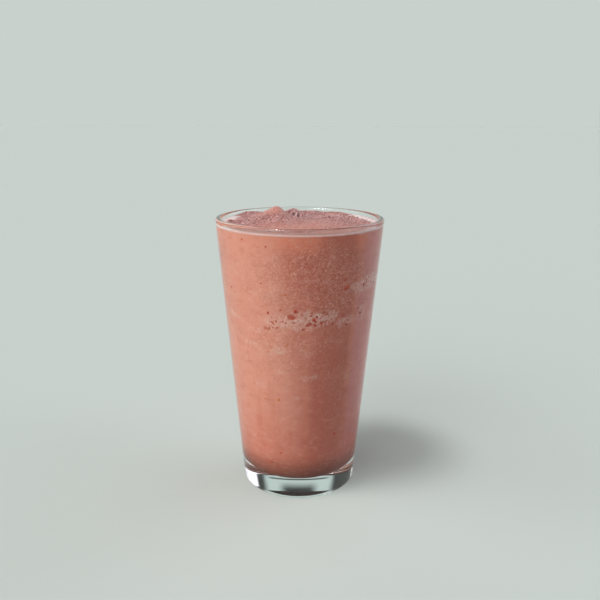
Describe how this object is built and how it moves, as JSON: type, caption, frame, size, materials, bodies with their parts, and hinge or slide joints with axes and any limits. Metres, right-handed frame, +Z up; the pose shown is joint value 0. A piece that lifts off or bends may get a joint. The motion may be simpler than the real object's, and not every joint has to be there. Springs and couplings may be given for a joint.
{
  "type": "strawberry lemonade in a glass",
  "caption": "Thick frozen strawberry lemonade filled to the rim of a plain tapered drinking glass with a heavy clear foot.",
  "frame": {"origin": "middle of the glass's foot, on the surface that it stands on", "axes": "+Z up along the glass's axis, +X to the drinker's right, -Y towards the drinker; the drink's soft peak lies left of the middle and a little behind it"},
  "size_m": [0.0886, 0.0886, 0.1537],
  "materials": {
    "clear_glass": "polished",
    "drink": "satin",
    "froth": "matte"
  },
  "bodies": {
    "root": {"glass": "clear_glass", "drink": "drink", "froth_ring": "froth"}
  },
  "joints": []
}
